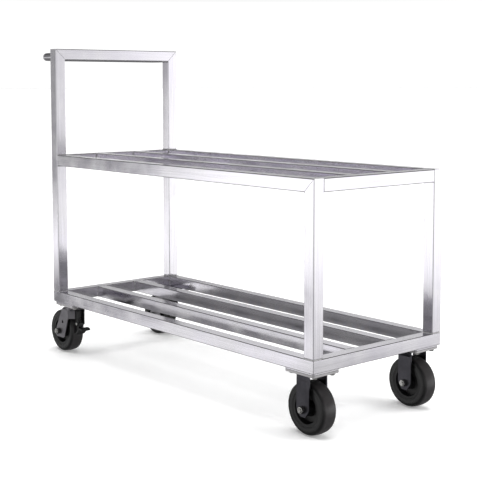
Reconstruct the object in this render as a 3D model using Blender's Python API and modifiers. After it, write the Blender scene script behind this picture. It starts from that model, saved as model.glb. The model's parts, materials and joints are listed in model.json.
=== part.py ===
"""Two-deck platform truck: a welded square-tube frame on two fixed and two swivel casters.

Metres, +Z up, +X towards the fixed casters, -Y the near side. The origin is on the floor,
under the middle of the truck's bounding box.
"""

import math

import bmesh
import bpy
from mathutils import Matrix, Vector

# Frame: one square tube throughout
FRAME_LENGTH = 1.3465
FRAME_WIDTH = 0.5334
SHELF_TOP = 0.7210
HANDLE_TOP = 1.0980
TUBE = 0.0381
TUBE_WALL = 0.0032
TUBE_CORNER = 0.0024
BARS_PER_DECK = 2
WELD_GAP = 0.0003

# Push handle: one bent round tube on the back of the handle uprights
HANDLE_DIAMETER = 0.0286
HANDLE_WALL = 0.0025
HANDLE_REACH = 0.0762
HANDLE_BEND = 0.030
HANDLE_DROP = 0.0270

# Corner pads and caster plates
PLATE_LENGTH = 0.1143
PLATE_WIDTH = 0.1016
PLATE_INSET = 0.0048
PLATE_CORNER = 0.006
PAD_THICKNESS = 0.0048
PLATE_THICKNESS = 0.0064
SEAT_GAP = 0.0003

# Wheels
WHEEL_DIAMETER = 0.1524
TREAD_WIDTH = 0.0508
TREAD_SHOULDER = 0.010
TREAD_CROWN = 0.0012
CORE_DIAMETER = 0.104
RIM_DEPTH = 0.009
RIM_INSET = 0.0012
RIM_SLOPE = 0.0030
WEB_THICKNESS = 0.014
HUB_DIAMETER = 0.038
HUB_STANDOUT = 0.0046
BUSH_DIAMETER = 0.0190
RUNNING_GAP = 0.0003
AXLE_DIAMETER = 0.0127
AXLE_GAP = 0.0003
WHEEL_TO_RIG = 0.0206

# Forks
FORK_PLATE = 0.0048
FORK_BEND = 0.008
FORK_SIDE_GAP = 0.0010
FIXED_LEG_WIDTH = 0.050
FIXED_TIP_WIDTH = 0.020
LEG_BELOW_AXLE = 0.0210
SWIVEL_LEAD = 0.0635
LEG_BEHIND_AXLE = 0.0255
LEG_AHEAD_OF_AXLE = 0.0390
LEG_TOP_BACK = 0.0450
LEG_CHAMFER = 0.0110
LEG_HOLE_DIAMETER = 0.011
LEG_HOLE_FORWARD = 0.0270
LEG_HOLE_RISE = 0.0380
SKIRT_FLAT = 0.0360
SKIRT_TO_WHEEL = 0.0036
SKIRT_TO_NUT = 0.0021

# Swivel head
RACE_DIAMETER = 0.080
RACE_DEPTH = 0.0045
BALL_DIAMETER = 0.0050
BALL_CIRCLE = 0.064
KINGPIN_DIAMETER = 0.0127
KINGPIN_HEAD = 0.022
KINGPIN_HEAD_DEPTH = 0.003

# Fasteners, across flats and thickness
AXLE_HEAD = (0.0191, 0.0080)
AXLE_NUT = (0.0191, 0.0110)
KINGPIN_NUT = (0.0191, 0.0100)
BOLT_END = 0.003

# Wheel brake, one on each swivel caster
BRAKE_PLATE = 0.0040
BRAKE_WIDTH = 0.030
BRAKE_DEPTH = 0.0140
BRAKE_TO_WHEEL = 0.0053
BRAKE_PIN_DIAMETER = 0.0080
BRAKE_PIN_HEAD = 0.0112
BRAKE_PIN_BELOW_SKIRT = 0.0180
BRAKE_CHEEK_END = 0.0120
BRAKE_SHOE_GAP = 0.0068
PEDAL_BOSS = 0.0128
PEDAL_PLATE = 0.0060
PEDAL_DROP = 0.0396
PEDAL_TREAD_DROP = 0.0145
PEDAL_TREAD_START = 0.0200
PEDAL_REACH = 0.0330
PEDAL_TIP = 0.0050
PEDAL_WIDTH = 0.036

# How finely round shapes are divided
ROUND_STEPS = 16
RACE_STEPS = 24
WHEEL_STEPS = 40
CORE_STEPS = 24
SHOULDER_STEPS = 2
ARC_STEPS = 2
HANDLE_SIDES_RESOLUTION = 4
HANDLE_ARC_STEPS = 6

# Heights that follow from the sizes above
AXLE_HEIGHT = WHEEL_DIAMETER / 2
PLATE_BOTTOM = WHEEL_DIAMETER + WHEEL_TO_RIG + FORK_PLATE
PLATE_TOP = PLATE_BOTTOM + PLATE_THICKNESS
PAD_BOTTOM = PLATE_TOP + SEAT_GAP
DECK_BOTTOM = PAD_BOTTOM + PAD_THICKNESS + SEAT_GAP
DECK_TOP = DECK_BOTTOM + TUBE

# Places that follow from the sizes above, measured from the middle of the frame
HALF_LENGTH = FRAME_LENGTH / 2
HALF_WIDTH = FRAME_WIDTH / 2
HALF_TUBE = TUBE / 2
CASTER_X = HALF_LENGTH - PLATE_INSET - PLATE_LENGTH / 2
CASTER_Y = HALF_WIDTH - PLATE_INSET - PLATE_WIDTH / 2
REAR_REACH = max(
    HALF_LENGTH + HANDLE_REACH + HANDLE_DIAMETER / 2,
    CASTER_X + SWIVEL_LEAD + AXLE_HEIGHT,
)
FRONT_REACH = max(HALF_LENGTH, CASTER_X + AXLE_HEIGHT)
FRAME_OFFSET = (REAR_REACH - FRONT_REACH) / 2

# Across one fork, from the wheel's middle plane
HUB_LENGTH = TREAD_WIDTH + 2 * HUB_STANDOUT
FORK_INNER = HUB_LENGTH / 2 + FORK_SIDE_GAP
FORK_OUTER = FORK_INNER + FORK_PLATE

# The swivel fork's skirt clears the wheel and the kingpin's nut, and carries the brake
WHEEL_FRONT = AXLE_HEIGHT - SWIVEL_LEAD
NUT_CORNER = KINGPIN_NUT[0] / math.sqrt(3)
SKIRT_FORWARD = max(WHEEL_FRONT + BRAKE_TO_WHEEL, NUT_CORNER + SKIRT_TO_NUT + FORK_PLATE)
SKIRT_BACK = SWIVEL_LEAD - FORK_PLATE
SKIRT_BOTTOM = AXLE_HEIGHT + math.sqrt((AXLE_HEIGHT + SKIRT_TO_WHEEL) ** 2 - SKIRT_BACK ** 2)
BRAKE_PIVOT = (SKIRT_FORWARD + BRAKE_DEPTH / 2, SKIRT_BOTTOM - BRAKE_PIN_BELOW_SKIRT)

SIDES = {"near": -1, "far": 1}
PLANES = {
    "XY": Matrix.Identity(3),
    "XZ": Matrix(((1, 0, 0), (0, 0, -1), (0, 1, 0))),
    "YZ": Matrix(((0, 0, 1), (1, 0, 0), (0, 1, 0))),
}


# Scene

def clear_scene():
    for item in list(bpy.data.objects):
        bpy.data.objects.remove(item, do_unlink=True)


def make_collection(name):
    collection = bpy.data.collections.new(name)
    bpy.context.scene.collection.children.link(collection)
    return collection


def make_material(name, colour, roughness, metallic):
    material = bpy.data.materials.new(name)
    material.use_nodes = True
    shader = material.node_tree.nodes["Principled BSDF"]
    shader.inputs["Base Color"].default_value = (*colour, 1)
    shader.inputs["Roughness"].default_value = roughness
    shader.inputs["Metallic"].default_value = metallic
    return material


clear_scene()
PARTS = make_collection("platform_truck")
CUTTERS = make_collection("cutters")
CUTTERS.hide_render = True
FINISHES = {
    "tube": ((0.72, 0.72, 0.74), 0.35, 1.0),
    "pad": ((0.62, 0.62, 0.63), 0.40, 1.0),
    "fork": ((0.30, 0.30, 0.32), 0.45, 1.0),
    "bolt": ((0.60, 0.60, 0.58), 0.30, 1.0),
    "tyre": ((0.020, 0.020, 0.022), 0.50, 0.0),
    "core": ((0.035, 0.035, 0.038), 0.40, 0.0),
    "brake": ((0.030, 0.030, 0.030), 0.45, 0.6),
}


def add_part(name, mesh, finish, parent, location=(0, 0, 0), rotation=(0, 0, 0)):
    """One named sub-part, with a material of its own."""
    part = bpy.data.objects.new(name, mesh)
    PARTS.objects.link(part)
    part.parent = parent
    part.location = location
    part.rotation_euler = rotation
    if not mesh.materials:
        mesh.materials.append(None)
    slot = part.material_slots[0]
    slot.link = "OBJECT"
    slot.material = make_material(name, *FINISHES[finish])
    return part


def add_empty(name, parent, location, rotation=(0, 0, 0)):
    empty = bpy.data.objects.new(name, None)
    PARTS.objects.link(empty)
    empty.parent = parent
    empty.location = location
    empty.rotation_euler = rotation
    empty.empty_display_size = 0.05
    return empty


# Outlines, as lists of 2D points

def rounded(corners, radii):
    """The polygon with an arc at each corner. Radii is one radius, or one for each corner."""
    if not isinstance(radii, (list, tuple)):
        radii = [radii] * len(corners)
    points = []
    for i, radius in enumerate(radii):
        here = Vector(corners[i])
        before = (Vector(corners[i - 1]) - here).normalized()
        after = (Vector(corners[(i + 1) % len(corners)]) - here).normalized()
        if radius == 0:
            points.append(here)
            continue
        half_angle = before.angle(after) / 2
        setback = radius / math.tan(half_angle)
        middle = here + (before + after).normalized() * (radius / math.sin(half_angle))
        start = here + before * setback - middle
        turn = start.angle_signed(here + after * setback - middle)
        for step in range(ARC_STEPS + 1):
            point = start.copy()
            point.rotate(Matrix.Rotation(-turn * step / ARC_STEPS, 2))
            points.append(middle + point)
    return points


def rectangle(width, height, radius=0.0, centre=(0.0, 0.0)):
    x, y = centre
    half_w, half_h = width / 2, height / 2
    corners = [
        (x - half_w, y - half_h),
        (x + half_w, y - half_h),
        (x + half_w, y + half_h),
        (x - half_w, y + half_h),
    ]
    return rounded(corners, radius)


def circle(diameter, centre=(0.0, 0.0), steps=ROUND_STEPS):
    turn = 2 * math.pi / steps
    return [
        Vector(centre) + diameter / 2 * Vector((math.cos(turn * i), math.sin(turn * i)))
        for i in range(steps)
    ]


def hexagon(across_flats, centre=(0.0, 0.0)):
    return circle(across_flats / math.cos(math.pi / 6), centre, 6)


def strip(line, thickness):
    """The outline of a bent plate, seen along its bends, from its middle line."""
    line = [Vector(point) for point in line]
    along = [(after - before).normalized() for before, after in zip(line, line[1:])]
    offsets = []
    for before, after in zip([along[0], *along], [*along, along[-1]]):
        out = (before + after).normalized()
        offsets.append(Vector((-out.y, out.x)) * thickness / 2 / out.dot(before))
    left = [point + offset for point, offset in zip(line, offsets)]
    right = [point - offset for point, offset in zip(line, offsets)]
    return right + left[::-1]


# Solids

def mesh_of(source):
    """The mesh that an object shows, with its doubled points joined and its faces turned outwards."""
    bpy.context.view_layer.update()
    graph = bpy.context.evaluated_depsgraph_get()
    mesh = bpy.data.meshes.new_from_object(source.evaluated_get(graph))
    body = bmesh.new()
    body.from_mesh(mesh)
    bmesh.ops.remove_doubles(body, verts=body.verts, dist=1e-6)
    bmesh.ops.recalc_face_normals(body, faces=body.faces)
    body.to_mesh(mesh)
    body.free()
    return mesh


def extrusion(outlines, depth, plane="XY", centre=(0, 0, 0)):
    """A flat outline, with any holes in it, given a thickness about its own plane."""
    curve = bpy.data.curves.new("outline", "CURVE")
    curve.dimensions = "2D"
    curve.fill_mode = "BOTH"
    curve.extrude = depth / 2
    for outline in outlines:
        spline = curve.splines.new("POLY")
        spline.points.add(len(outline) - 1)
        for point, (x, y) in zip(spline.points, outline):
            point.co = (x, y, 0, 1)
        spline.use_cyclic_u = True
    drawn = bpy.data.objects.new("outline", curve)
    CUTTERS.objects.link(drawn)
    mesh = mesh_of(drawn)
    bpy.data.objects.remove(drawn)
    bpy.data.curves.remove(curve)
    mesh.transform(Matrix.Translation(centre) @ PLANES[plane].to_4x4())
    return mesh


def cylinder(diameter, length, centre, axis="Z", steps=ROUND_STEPS):
    body = bmesh.new()
    bmesh.ops.create_cone(
        body, cap_ends=True, segments=steps, radius1=diameter / 2, radius2=diameter / 2, depth=length
    )
    mesh = bpy.data.meshes.new("cylinder")
    body.to_mesh(mesh)
    body.free()
    if axis == "Y":
        mesh.transform(Matrix.Rotation(math.pi / 2, 4, "X"))
    mesh.transform(Matrix.Translation(centre))
    return mesh


def combine(mesh, operation, *tools):
    """The mesh after one exact Boolean with each of the tools."""
    for tool in tools:
        target = bpy.data.objects.new("target", mesh)
        cutter = bpy.data.objects.new("cutter", tool)
        cutter.hide_render = True
        cutter.display_type = "WIRE"
        for item in (target, cutter):
            CUTTERS.objects.link(item)
        boolean = target.modifiers.new(operation.lower(), "BOOLEAN")
        boolean.operation = operation
        boolean.solver = "EXACT"
        boolean.object = cutter
        mesh = mesh_of(target)
        bpy.data.objects.remove(target)
        bpy.data.objects.remove(cutter)
    return mesh


def shade_round(mesh, angle=math.radians(35)):
    mesh.shade_smooth()
    mesh.set_sharp_from_angle(angle=angle)


# Square tube

def square_tube(length, slant_low=0, slant_high=0):
    """A tube along +Z from the origin. A slant of 1 mitres that end at 45 degrees, longest at +X."""
    outer = rectangle(TUBE, TUBE, TUBE_CORNER)
    inner = rectangle(TUBE - 2 * TUBE_WALL, TUBE - 2 * TUBE_WALL)
    mesh = extrusion([outer, inner], length, centre=(0, 0, length / 2))
    for vertex in mesh.vertices:
        if vertex.co.z < length / 2:
            vertex.co.z -= slant_low * vertex.co.x
        else:
            vertex.co.z += slant_high * vertex.co.x
    return mesh


def add_tube(name, parent, start, end, outward, slant_low=0, slant_high=0):
    """A tube between two points of its centreline. Outward is the side that a mitre leaves longest."""
    start, end, outward = Vector(start), Vector(end), Vector(outward)
    along = (end - start).normalized()
    mitre_gap = WELD_GAP / math.sqrt(2)
    start += along * mitre_gap * slant_low
    end -= along * mitre_gap * slant_high
    turn = Matrix((outward, along.cross(outward), along)).transposed()
    mesh = square_tube((end - start).length, slant_low, slant_high)
    return add_part(name, mesh, "tube", parent, start, turn.to_euler())


def bar_places():
    """Where a deck's bars lie across the truck, with equal spaces between them and the side rails."""
    inside = FRAME_WIDTH - 2 * TUBE
    space = (inside - BARS_PER_DECK * TUBE) / (BARS_PER_DECK + 1)
    return [
        -inside / 2 + space * (i + 1) + TUBE * (i + 0.5)
        for i in range(BARS_PER_DECK)
    ]


def build_bottom_deck(truck):
    x, y, z = HALF_LENGTH - HALF_TUBE, HALF_WIDTH - HALF_TUBE, DECK_TOP - HALF_TUBE
    for side, sign in SIDES.items():
        add_tube(f"bottom_side_rail_{side}", truck, (-x, sign * y, z), (x, sign * y, z), (0, sign, 0), 1, 1)
    for end, sign in (("front", 1), ("rear", -1)):
        add_tube(f"bottom_end_rail_{end}", truck, (sign * x, -y, z), (sign * x, y, z), (sign, 0, 0), 1, 1)
    reach = HALF_LENGTH - TUBE - WELD_GAP
    for i, place in enumerate(bar_places(), 1):
        add_tube(f"bottom_deck_bar_{i}", truck, (-reach, place, z), (reach, place, z), (0, 1, 0))


def build_handle_frame(truck):
    x, y, top = -HALF_LENGTH + HALF_TUBE, HALF_WIDTH - HALF_TUBE, HANDLE_TOP - HALF_TUBE
    for side, sign in SIDES.items():
        foot = (x, sign * y, DECK_TOP + WELD_GAP)
        add_tube(f"handle_upright_{side}", truck, foot, (x, sign * y, top), (0, sign, 0), 0, 1)
    add_tube("handle_top_rail", truck, (x, -y, top), (x, y, top), (0, 0, 1), 1, 1)


def build_shelf(truck):
    x, y, z = HALF_LENGTH - HALF_TUBE, HALF_WIDTH - HALF_TUBE, SHELF_TOP - HALF_TUBE
    back = -HALF_LENGTH + TUBE + WELD_GAP
    for side, sign in SIDES.items():
        foot = (x, sign * y, DECK_TOP + WELD_GAP)
        add_tube(f"front_upright_{side}", truck, foot, (x, sign * y, z), (1, 0, 0), 0, 1)
        add_tube(f"shelf_side_rail_{side}", truck, (back, sign * y, z), (x, sign * y, z), (0, 0, 1), 0, 1)
    across = HALF_WIDTH - TUBE - WELD_GAP
    for end, sign in (("front", 1), ("rear", -1)):
        add_tube(f"shelf_end_rail_{end}", truck, (sign * x, -across, z), (sign * x, across, z), (sign, 0, 0))
    for i, place in enumerate(bar_places(), 1):
        add_tube(f"shelf_bar_{i}", truck, (back, place, z), (-back, place, z), (0, 1, 0))


def handle_line():
    """The centreline of the bent handle, from one upright to the other."""
    back = -HALF_LENGTH - WELD_GAP
    grip = -HALF_LENGTH - HANDLE_REACH
    y, z = HALF_WIDTH - HALF_TUBE, HANDLE_TOP - HANDLE_DROP
    near = [Vector((back, -y, z))]
    middle = Vector((grip + HANDLE_BEND, -y + HANDLE_BEND, z))
    for step in range(HANDLE_ARC_STEPS + 1):
        angle = math.pi / 2 * step / HANDLE_ARC_STEPS
        offset = Vector((-math.sin(angle), -math.cos(angle), 0))
        near.append(middle + HANDLE_BEND * offset)
    far = [Vector((point.x, -point.y, point.z)) for point in reversed(near)]
    return near + far


def build_push_handle(truck):
    line = handle_line()
    curve = bpy.data.curves.new("push_handle", "CURVE")
    curve.dimensions = "3D"
    curve.bevel_depth = HANDLE_DIAMETER / 2
    curve.bevel_resolution = HANDLE_SIDES_RESOLUTION
    spline = curve.splines.new("POLY")
    spline.points.add(len(line) - 1)
    for point, place in zip(spline.points, line):
        point.co = (*place, 1)
    handle = bpy.data.objects.new("push_handle_line", curve)
    PARTS.objects.link(handle)
    skin = mesh_of(handle)
    bpy.data.objects.remove(handle)
    bpy.data.curves.remove(curve)
    shade_round(skin)
    tube = add_part("push_handle", skin, "tube", truck)
    wall = tube.modifiers.new("wall", "SOLIDIFY")
    wall.thickness = HANDLE_WALL
    wall.offset = -1


# Casters. Each is built about its own corner: the wheel rolls along X and turns about Y

def plate_outline():
    return rectangle(PLATE_LENGTH, PLATE_WIDTH, PLATE_CORNER)


def fork_section(top, bottom):
    """The fork's plate as seen along X: two legs and the web over the wheel."""
    outer = [(-FORK_OUTER, bottom), (-FORK_OUTER, top), (FORK_OUTER, top), (FORK_OUTER, bottom)]
    inner_top = top - FORK_PLATE
    inner = [(FORK_INNER, bottom), (FORK_INNER, inner_top), (-FORK_INNER, inner_top), (-FORK_INNER, bottom)]
    inner_bend = max(FORK_BEND - FORK_PLATE, 0.001)
    return rounded(outer + inner, [0, FORK_BEND, FORK_BEND, 0, 0, inner_bend, inner_bend, 0])


def fork_plate(silhouette, top, axle, holes):
    """The bent plate: its section along X, trimmed to its shape from the side and drilled across."""
    bottom = AXLE_HEIGHT - 2 * LEG_BELOW_AXLE
    length = 4 * PLATE_LENGTH
    mesh = extrusion([fork_section(top, bottom)], length, "YZ")
    mesh = combine(mesh, "INTERSECT", extrusion([silhouette], 4 * FORK_OUTER, "XZ"))
    drills = [
        cylinder(diameter, 4 * FORK_OUTER, (x, 0, z), "Y")
        for diameter, (x, z) in [(AXLE_DIAMETER + 2 * AXLE_GAP, axle), *holes]
    ]
    return combine(mesh, "DIFFERENCE", *drills)


def fixed_fork_mesh():
    """The fixed fork, its web welded under the mounting plate."""
    half, tip, low = FIXED_LEG_WIDTH / 2, FIXED_TIP_WIDTH / 2, AXLE_HEIGHT - LEG_BELOW_AXLE
    one_side = [(half, PLATE_TOP), (half, AXLE_HEIGHT), (tip, low)]
    other_side = [(-x, z) for x, z in reversed(one_side)]
    bends = [0, LEG_BELOW_AXLE, tip / 2]
    silhouette = rounded(one_side + other_side, bends + bends[::-1])
    plate = extrusion([plate_outline()], PLATE_THICKNESS, centre=(0, 0, PLATE_BOTTOM + PLATE_THICKNESS / 2))
    bent = fork_plate(silhouette, PLATE_BOTTOM + PLATE_THICKNESS / 2, (0, AXLE_HEIGHT), [])
    return combine(plate, "UNION", bent)


def race_heights():
    """The underside of the top plate's race, and the top of the fork's."""
    upper = PLATE_BOTTOM - RACE_DEPTH
    return upper, upper - SEAT_GAP


def ring_groove(height):
    """The track that the ball ring runs in, as a cutter."""
    outer, inner = BALL_CIRCLE + BALL_DIAMETER, BALL_CIRCLE - BALL_DIAMETER
    depth = BALL_DIAMETER + SEAT_GAP
    edges = [
        circle(outer + 2 * RUNNING_GAP, steps=RACE_STEPS),
        circle(inner - 2 * RUNNING_GAP, steps=RACE_STEPS),
    ]
    return extrusion(edges, depth, centre=(0, 0, height))


def swivel_plate_mesh():
    """The mounting plate with the upper race under it, bored and recessed for the kingpin."""
    upper = race_heights()[0]
    plate = extrusion([plate_outline()], PLATE_THICKNESS, centre=(0, 0, PLATE_BOTTOM + PLATE_THICKNESS / 2))
    race_top = PLATE_TOP - PLATE_THICKNESS / 2
    race = cylinder(RACE_DIAMETER, race_top - upper, (0, 0, (race_top + upper) / 2), steps=RACE_STEPS)
    bore = cylinder(KINGPIN_DIAMETER + 2 * RUNNING_GAP, 4 * PLATE_THICKNESS, (0, 0, PLATE_BOTTOM))
    head = KINGPIN_HEAD_DEPTH + SEAT_GAP
    recess = cylinder(KINGPIN_HEAD + 2 * RUNNING_GAP, 2 * head, (0, 0, PLATE_TOP))
    mesh = combine(plate, "UNION", race)
    return combine(mesh, "DIFFERENCE", bore, recess, ring_groove(upper))


def skirt_outline():
    """The fork's front skirt from above: flat behind the brake, and slanted back to each leg."""
    front, flat, wall = SKIRT_FORWARD, SKIRT_FLAT / 2, FORK_PLATE
    outer = [
        (-wall, -FORK_OUTER),
        (0, -FORK_OUTER),
        (front, -flat),
        (front, flat),
        (0, FORK_OUTER),
        (-wall, FORK_OUTER),
    ]
    inner_flat = flat - wall / 2
    inner = [
        (-wall, FORK_OUTER - wall),
        (front - wall, inner_flat),
        (front - wall, -inner_flat),
        (-wall, wall - FORK_OUTER),
    ]
    return rounded(outer + inner, [0, wall, wall, wall, wall, 0, 0, wall / 2, wall / 2, 0])


def swivel_fork_mesh():
    """The swivel fork: legs that slant back to the axle, a front skirt and the lower race."""
    top = race_heights()[1]
    web_top = top - RACE_DEPTH
    axle_x, low, bend = -SWIVEL_LEAD, AXLE_HEIGHT - LEG_BELOW_AXLE, FORK_BEND
    web_front = SKIRT_FORWARD - FORK_PLATE / 2
    silhouette = rounded(
        [
            (-LEG_TOP_BACK + LEG_CHAMFER, web_top),
            (-LEG_TOP_BACK, web_top - 2 * bend),
            (axle_x - LEG_BEHIND_AXLE, AXLE_HEIGHT - bend),
            (axle_x - LEG_BEHIND_AXLE + LEG_CHAMFER, low),
            (axle_x + LEG_AHEAD_OF_AXLE - LEG_CHAMFER, low),
            (axle_x + LEG_AHEAD_OF_AXLE, low + bend / 2),
            (0, SKIRT_BOTTOM),
            (0, web_top - bend),
            (web_front, web_top - bend),
            (web_front, web_top),
        ],
        [bend / 2, bend, bend, bend, bend / 2, bend / 2, bend, 0, 0, 0],
    )
    hole = (LEG_HOLE_DIAMETER, (axle_x + LEG_HOLE_FORWARD, AXLE_HEIGHT + LEG_HOLE_RISE))
    mesh = fork_plate(silhouette, web_top, (axle_x, AXLE_HEIGHT), [hole])
    join = web_top - FORK_PLATE / 2
    skirt = extrusion([skirt_outline()], join - SKIRT_BOTTOM, centre=(0, 0, (join + SKIRT_BOTTOM) / 2))
    race = cylinder(RACE_DIAMETER, top - join, (0, 0, (top + join) / 2), steps=RACE_STEPS)
    bore = cylinder(KINGPIN_DIAMETER + 2 * RUNNING_GAP, 4 * RACE_DEPTH + 2 * FORK_PLATE, (0, 0, web_top))
    mesh = combine(mesh, "UNION", skirt, race)
    return combine(mesh, "DIFFERENCE", bore, ring_groove(top))


def ball_ring_mesh():
    """The ring that holds the swivel's balls, running in both tracks."""
    upper, lower = race_heights()
    outer, inner = BALL_CIRCLE + BALL_DIAMETER, BALL_CIRCLE - BALL_DIAMETER
    edges = [circle(outer, steps=RACE_STEPS), circle(inner, steps=RACE_STEPS)]
    return extrusion(edges, BALL_DIAMETER - SEAT_GAP, centre=(0, 0, (upper + lower) / 2))


def nut_mesh(size, diameter):
    flats, thickness = size
    edges = [hexagon(flats), circle(diameter + 2 * AXLE_GAP)]
    return extrusion(edges, thickness, centre=(0, 0, thickness / 2))


def bolt_mesh(head, diameter, length):
    """A hexagon bolt: its head stands on +Z at the origin and its shank runs down -Z."""
    flats, thickness = head
    overlap = thickness / 2
    top = extrusion([hexagon(flats)], thickness, centre=(0, 0, thickness / 2))
    shank = cylinder(diameter, length + overlap, (0, 0, (overlap - length) / 2))
    return combine(top, "UNION", shank)


def kingpin_mesh():
    """The pin's head lies in the plate's recess, and its shank passes both races and the nut."""
    web_bottom = race_heights()[1] - RACE_DEPTH - FORK_PLATE
    low = web_bottom - SEAT_GAP - KINGPIN_NUT[1] - BOLT_END
    head_top = PLATE_TOP
    head = cylinder(KINGPIN_HEAD, KINGPIN_HEAD_DEPTH, (0, 0, head_top - KINGPIN_HEAD_DEPTH / 2))
    shank_top = head_top - KINGPIN_HEAD_DEPTH / 2
    shank = cylinder(KINGPIN_DIAMETER, shank_top - low, (0, 0, (shank_top + low) / 2))
    return combine(head, "UNION", shank)


def turned(name, profile, finish, parent, location, steps):
    """A ring turned about Y. The profile is (radius, place along the axis), outer side first."""
    mesh = bpy.data.meshes.new(name)
    points = [(radius, 0, along) for radius, along in profile]
    edges = [(i, (i + 1) % len(points)) for i in range(len(points))]
    mesh.from_pydata(points, edges, [])
    ring = add_part(name, mesh, finish, parent, location, (math.pi / 2, 0, 0))
    screw = ring.modifiers.new("turn", "SCREW")
    screw.steps = steps
    screw.render_steps = steps
    screw.use_merge_vertices = True
    screw.merge_threshold = 0.00001
    screw.use_smooth_shade = True
    return ring


def tyre_profile():
    radius, half = WHEEL_DIAMETER / 2, TREAD_WIDTH / 2
    shoulder, crown = TREAD_SHOULDER, TREAD_CROWN
    arc = [math.pi / 2 * step / SHOULDER_STEPS for step in range(SHOULDER_STEPS + 1)]
    top = [
        (radius - crown - shoulder * (1 - math.sin(a)), half - shoulder * (1 - math.cos(a)))
        for a in arc
    ]
    top.append((radius, half - 2 * shoulder))
    bottom = [(r, -along) for r, along in reversed(top)]
    inner = CORE_DIAMETER / 2
    return top + bottom + [(inner, -half), (inner, half)]


def core_profile():
    rim = CORE_DIAMETER / 2 - RUNNING_GAP
    bore = BUSH_DIAMETER / 2 + RUNNING_GAP
    half_rim = TREAD_WIDTH / 2 - RIM_INSET
    half_web, half_hub = WEB_THICKNESS / 2, HUB_LENGTH / 2
    hub = HUB_DIAMETER / 2
    top = [
        (bore, half_hub),
        (hub, half_hub),
        (hub + RIM_SLOPE, half_web),
        (rim - RIM_DEPTH - RIM_SLOPE, half_web),
        (rim - RIM_DEPTH, half_rim),
        (rim, half_rim),
    ]
    return top + [(r, -along) for r, along in reversed(top)]


def add_wheel(prefix, caster, lead):
    axle = (-lead, 0, AXLE_HEIGHT)
    turned(f"{prefix}_tyre", tyre_profile(), "tyre", caster, axle, WHEEL_STEPS)
    turned(f"{prefix}_wheel_core", core_profile(), "core", caster, axle, CORE_STEPS)


def add_axle(prefix, caster, lead):
    """The axle bolt goes in from the far side, through the bush, to a nut on the near leg."""
    head_y = FORK_OUTER + SEAT_GAP
    nut_y = -FORK_OUTER - SEAT_GAP
    bolt = bolt_mesh(AXLE_HEAD, AXLE_DIAMETER, head_y - nut_y + AXLE_NUT[1] + BOLT_END)
    nut = nut_mesh(AXLE_NUT, AXLE_DIAMETER)
    bush_length = 2 * (FORK_INNER - SEAT_GAP)
    bush = extrusion([circle(BUSH_DIAMETER), circle(AXLE_DIAMETER + 2 * AXLE_GAP)], bush_length)
    for mesh in (bolt, nut, bush):
        shade_round(mesh)
    across = (-math.pi / 2, 0, 0)
    back = (math.pi / 2, 0, 0)
    add_part(f"{prefix}_axle_bolt", bolt, "bolt", caster, (-lead, head_y, AXLE_HEIGHT), across)
    add_part(f"{prefix}_axle_nut", nut, "bolt", caster, (-lead, nut_y, AXLE_HEIGHT), back)
    add_part(f"{prefix}_axle_bush", bush, "bolt", caster, (-lead, 0, AXLE_HEIGHT), across)


def build_fixed_caster(truck, side, sign):
    prefix = f"front_{side}"
    caster = add_empty(f"{prefix}_caster", truck, (CASTER_X, sign * CASTER_Y, 0))
    add_part(f"{prefix}_fixed_fork", fixed_fork_mesh(), "fork", caster)
    add_axle(prefix, caster, 0)
    add_wheel(prefix, caster, 0)


def brake_bracket_mesh():
    """A channel on the fork's skirt, whose cheeks carry the pedal's pin."""
    pivot_x, pivot_z = BRAKE_PIVOT
    back = SKIRT_FORWARD + SEAT_GAP
    front = back + BRAKE_DEPTH
    top = race_heights()[1] - RACE_DEPTH - FORK_BEND / 2
    end = BRAKE_CHEEK_END / 2
    cheek = rounded(
        [
            (back, top),
            (back, SKIRT_BOTTOM),
            (pivot_x - end, pivot_z + end),
            (pivot_x - end, pivot_z - end),
            (pivot_x + end, pivot_z - end),
            (front, pivot_z + end),
            (front, top),
        ],
        [0, 0, end / 2, end / 2, end / 2, end / 2, end / 2],
    )
    hole = circle(BRAKE_PIN_DIAMETER + 2 * RUNNING_GAP, BRAKE_PIVOT)
    offset = (BRAKE_WIDTH - BRAKE_PLATE) / 2
    cheeks = [extrusion([cheek, hole], BRAKE_PLATE, "XZ", (0, sign * offset, 0)) for sign in (-1, 1)]
    web = extrusion(
        [rectangle(BRAKE_PLATE, top - SKIRT_BOTTOM)],
        BRAKE_WIDTH - BRAKE_PLATE,
        "XZ",
        (back + BRAKE_PLATE / 2, 0, (top + SKIRT_BOTTOM) / 2),
    )
    return combine(web, "UNION", *cheeks)


def brake_pedal_mesh():
    """The pedal about its own pivot: a boss, a shoe in front of the tread and a foot plate."""
    boss, plate = PEDAL_BOSS / 2, PEDAL_PLATE
    shoe = WHEEL_FRONT + BRAKE_SHOE_GAP - BRAKE_PIVOT[0]
    lever = rounded(
        [
            (-boss, boss),
            (boss, boss),
            (boss, -PEDAL_TREAD_DROP - plate),
            (shoe + plate, -PEDAL_DROP),
            (shoe, -PEDAL_DROP),
            (shoe, -boss),
            (-boss, -boss),
        ],
        [boss / 2, boss / 2, 0, plate / 4, plate / 4, 0, 0],
    )
    foot_line = [
        (shoe + plate / 2, plate / 2 - PEDAL_DROP),
        (PEDAL_TREAD_START, -PEDAL_TREAD_DROP),
        (PEDAL_REACH, -PEDAL_TREAD_DROP),
        (PEDAL_REACH + PEDAL_TIP, -PEDAL_TREAD_DROP - PEDAL_TIP),
    ]
    bend, end = plate / 2, plate / 4
    foot = rounded(strip(foot_line, plate), [end, bend, bend, end, end, bend, bend, end])
    hole = circle(BRAKE_PIN_DIAMETER + 2 * RUNNING_GAP)
    width = BRAKE_WIDTH - 2 * (BRAKE_PLATE + 2 * RUNNING_GAP)
    lever_mesh = extrusion([lever, hole], width, "XZ")
    return combine(lever_mesh, "UNION", extrusion([foot], PEDAL_WIDTH, "XZ"))


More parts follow.
